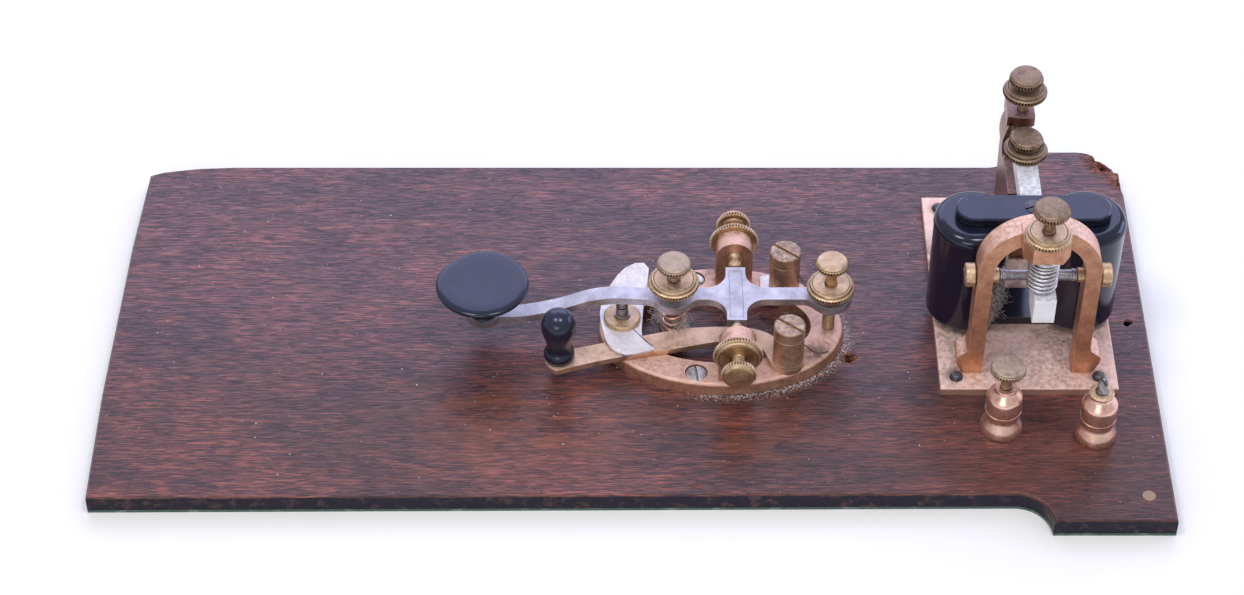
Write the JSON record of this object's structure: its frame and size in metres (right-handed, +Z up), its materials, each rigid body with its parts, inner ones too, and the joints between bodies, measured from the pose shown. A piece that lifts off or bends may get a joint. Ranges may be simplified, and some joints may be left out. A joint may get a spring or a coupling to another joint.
{
  "type": "telegraph key and sounder set",
  "caption": "Hand telegraph key and electromagnet sounder with screw terminals on a wooden board, for sending and hearing Morse code.",
  "frame": {"origin": "middle of the board's footprint on the underside of the felt", "axes": "+X along the board towards the sounder, +Y away from the operator, +Z up"},
  "size_m": [0.373, 0.185, 0.0963],
  "materials": {
    "board_wood": "dark varnished hardwood, worn edges",
    "plug_wood": "pale filler",
    "felt": "green baize",
    "cast_bronze": "toned cast bronze",
    "plate_bronze": "dull sheet bronze",
    "turned_brass": "dusty knurled brass",
    "terminal_brass": "dark turned brass",
    "post_copper": "lacquered copper-toned brass",
    "lever_steel": "plated steel",
    "light_alloy": "brushed light alloy",
    "blued_steel": "black enamel",
    "black_rubber": "polished hard rubber",
    "soft_iron": "black iron",
    "spring_steel": "bright spring wire",
    "spring_bronze": "phosphor bronze wire",
    "screw_steel": "dull steel",
    "nickel_silver": "dull nickel silver",
    "fibre": "vulcanised fibre",
    "magnet_wire": "green silk-covered wire",
    "lead_wire": "cloth-covered lead"
  },
  "bodies": {
    "root": {"baseboard": "board_wood", "felt_pad": "felt", "hole_plug": "plug_wood", "key_base": "cast_bronze", "key_base_screws": "screw_steel", "anvil_insulator": "fibre", "closer_clip": "nickel_silver", "anvil_disc": "terminal_brass", "anvil_contact": "blued_steel", "terminal_near": "terminal_brass", "terminal_far": "terminal_brass", "terminal_strap": "nickel_silver", "key_lead": "lead_wire", "key_spring": "spring_bronze", "sounder_plate": "plate_bronze", "under_plate_screws": "screw_steel", "plate_screws": "blued_steel", "arch_frame": "cast_bronze", "heel_iron": "soft_iron", "magnet_cores": "soft_iron", "coil_bobbins": "fibre", "coil_windings": "magnet_wire", "coil_shells": "black_rubber", "coil_caps": "black_rubber", "sounder_spring": "spring_steel", "anvil_bridge": "cast_bronze", "binding_posts": "post_copper", "post_stud_nuts": "turned_brass", "post_stub_screw": "screw_steel"},
    "key_lever_group": {"key_lever": "lever_steel", "key_knob": "black_rubber", "knob_screw": "screw_steel", "lever_contact": "nickel_silver"},
    "closer_group": {"closer_arm": "turned_brass", "closer_handle": "black_rubber", "closer_rivets": "turned_brass"},
    "sounder_lever_group": {"sounder_lever": "light_alloy", "pivot_arbor": "spring_steel", "armature": "blued_steel", "armature_screw": "blued_steel"},
    "gap_screw_body": {"gap_screw": "turned_brass"},
    "gap_locknut_body": {"gap_locknut": "turned_brass"},
    "key_tension_screw_body": {"key_tension_screw": "turned_brass"},
    "key_tension_locknut_body": {"key_tension_locknut": "turned_brass"},
    "trunnion_screw_near_body": {"trunnion_screw_near": "turned_brass"},
    "trunnion_screw_far_body": {"trunnion_screw_far": "turned_brass"},
    "trunnion_locknut_near_body": {"trunnion_locknut_near": "turned_brass"},
    "trunnion_locknut_far_body": {"trunnion_locknut_far": "turned_brass"},
    "terminal_screw_near_body": {"terminal_screw_near": "terminal_brass"},
    "terminal_screw_far_body": {"terminal_screw_far": "terminal_brass"},
    "spring_cup_body": {"spring_cup": "nickel_silver"},
    "sounder_tension_screw_body": {"sounder_tension_screw": "turned_brass"},
    "sounder_tension_locknut_body": {"sounder_tension_locknut": "turned_brass"},
    "down_stop_screw_body": {"down_stop_screw": "turned_brass"},
    "down_stop_locknut_body": {"down_stop_locknut": "turned_brass"},
    "up_stop_screw_body": {"up_stop_screw": "turned_brass"},
    "up_stop_locknut_body": {"up_stop_locknut": "turned_brass"},
    "pivot_screw_left_body": {"pivot_screw_left": "turned_brass"},
    "pivot_screw_right_body": {"pivot_screw_right": "turned_brass"},
    "post_thumbscrew_body": {"post_thumbscrew": "turned_brass"}
  },
  "joints": [
    {"name": "key_press", "type": "hinge", "parent": "root", "child": "key_lever_group", "pos_m": [0.0378, -0.005, 0.027], "axis": [0, -1, 0], "range_deg": [0, 1], "deforming": ["key_spring"]},
    {"name": "gap_screw_turn", "type": "hinge", "parent": "key_lever_group", "child": "gap_screw_body", "pos_m": [0.0712, -0.005, 0.0377], "axis": [0, 0, 1], "range_deg": [-360, 360]},
    {"name": "gap_locknut_turn", "type": "hinge", "parent": "key_lever_group", "child": "gap_locknut_body", "pos_m": [0.0712, -0.005, 0.0327], "axis": [0, 0, 1], "range_deg": [-360, 360]},
    {"name": "key_tension_screw_turn", "type": "hinge", "parent": "key_lever_group", "child": "key_tension_screw_body", "pos_m": [0.0155, -0.005, 0.0377], "axis": [0, 0, 1], "range_deg": [-360, 360]},
    {"name": "key_tension_locknut_turn", "type": "hinge", "parent": "key_lever_group", "child": "key_tension_locknut_body", "pos_m": [0.0155, -0.005, 0.0347], "axis": [0, 0, 1], "range_deg": [-360, 360]},
    {"name": "trunnion_screw_near_turn", "type": "hinge", "parent": "root", "child": "trunnion_screw_near_body", "pos_m": [0.0378, -0.035, 0.027], "axis": [0, -1, 0], "range_deg": [-360, 360]},
    {"name": "trunnion_locknut_near_turn", "type": "hinge", "parent": "root", "child": "trunnion_locknut_near_body", "pos_m": [0.0378, -0.034, 0.027], "axis": [0, -1, 0], "range_deg": [-360, 360]},
    {"name": "trunnion_screw_far_turn", "type": "hinge", "parent": "root", "child": "trunnion_screw_far_body", "pos_m": [0.0378, 0.025, 0.027], "axis": [0, 1, 0], "range_deg": [-360, 360]},
    {"name": "trunnion_locknut_far_turn", "type": "hinge", "parent": "root", "child": "trunnion_locknut_far_body", "pos_m": [0.0378, 0.024, 0.027], "axis": [0, 1, 0], "range_deg": [-360, 360]},
    {"name": "terminal_screw_near_turn", "type": "hinge", "parent": "root", "child": "terminal_screw_near_body", "pos_m": [0.056, -0.024, 0.0297], "axis": [0, 0, 1], "range_deg": [-360, 360]},
    {"name": "terminal_screw_far_turn", "type": "hinge", "parent": "root", "child": "terminal_screw_far_body", "pos_m": [0.056, 0.014, 0.0287], "axis": [0, 0, 1], "range_deg": [-360, 360]},
    {"name": "closer_swing", "type": "hinge", "parent": "root", "child": "closer_group", "pos_m": [0.056, -0.024, 0.01295], "axis": [0, 0, 1], "range_deg": [0, 20]},
    {"name": "sounder_click", "type": "hinge", "parent": "root", "child": "sounder_lever_group", "pos_m": [0.1406, -0.02235, 0.0559], "axis": [-1, 0, 0], "range_deg": [0, 0.95], "deforming": ["sounder_spring"]},
    {"name": "spring_cup_slide", "type": "slide", "parent": "root", "child": "spring_cup_body", "axis": [0, 0, -1], "range_m": [-0.00035, 0.0014], "deforming": ["sounder_spring"]},
    {"name": "sounder_tension_screw_turn", "type": "hinge", "parent": "spring_cup_body", "child": "sounder_tension_screw_body", "pos_m": [0.1406, -0.031, 0.0937], "axis": [0, 0, -1], "range_deg": [-181, 721]},
    {"name": "sounder_tension_locknut_turn", "type": "hinge", "parent": "root", "child": "sounder_tension_locknut_body", "pos_m": [0.1406, -0.031, 0.0837], "axis": [0, 0, 1], "range_deg": [-360, 360]},
    {"name": "down_stop_screw_turn", "type": "hinge", "parent": "sounder_lever_group", "child": "down_stop_screw_body", "pos_m": [0.1414, 0.0365, 0.0647], "axis": [0, 0, 1], "range_deg": [-360, 360]},
    {"name": "down_stop_locknut_turn", "type": "hinge", "parent": "sounder_lever_group", "child": "down_stop_locknut_body", "pos_m": [0.1414, 0.0365, 0.0607], "axis": [0, 0, 1], "range_deg": [-360, 360]},
    {"name": "up_stop_screw_turn", "type": "hinge", "parent": "root", "child": "up_stop_screw_body", "pos_m": [0.1414, 0.052, 0.0797], "axis": [0, 0, 1], "range_deg": [-360, 360]},
    {"name": "up_stop_locknut_turn", "type": "hinge", "parent": "root", "child": "up_stop_locknut_body", "pos_m": [0.1414, 0.052, 0.0747], "axis": [0, 0, 1], "range_deg": [-360, 360]},
    {"name": "pivot_screw_left_turn", "type": "hinge", "parent": "root", "child": "pivot_screw_left_body", "pos_m": [0.1206, -0.02235, 0.0559], "axis": [-1, 0, 0], "range_deg": [-360, 360]},
    {"name": "pivot_screw_right_turn", "type": "hinge", "parent": "root", "child": "pivot_screw_right_body", "pos_m": [0.1606, -0.02235, 0.0559], "axis": [1, 0, 0], "range_deg": [-360, 360]},
    {"name": "post_thumbscrew_turn", "type": "hinge", "parent": "root", "child": "post_thumbscrew_body", "pos_m": [0.1297, -0.0494, 0.0357], "axis": [0, 0, 1], "range_deg": [-360, 360]}
  ],
  "couplings": [
    {"joint": "sounder_tension_screw_turn", "follows": "spring_cup_slide", "rad_per_m": 8976}
  ]
}
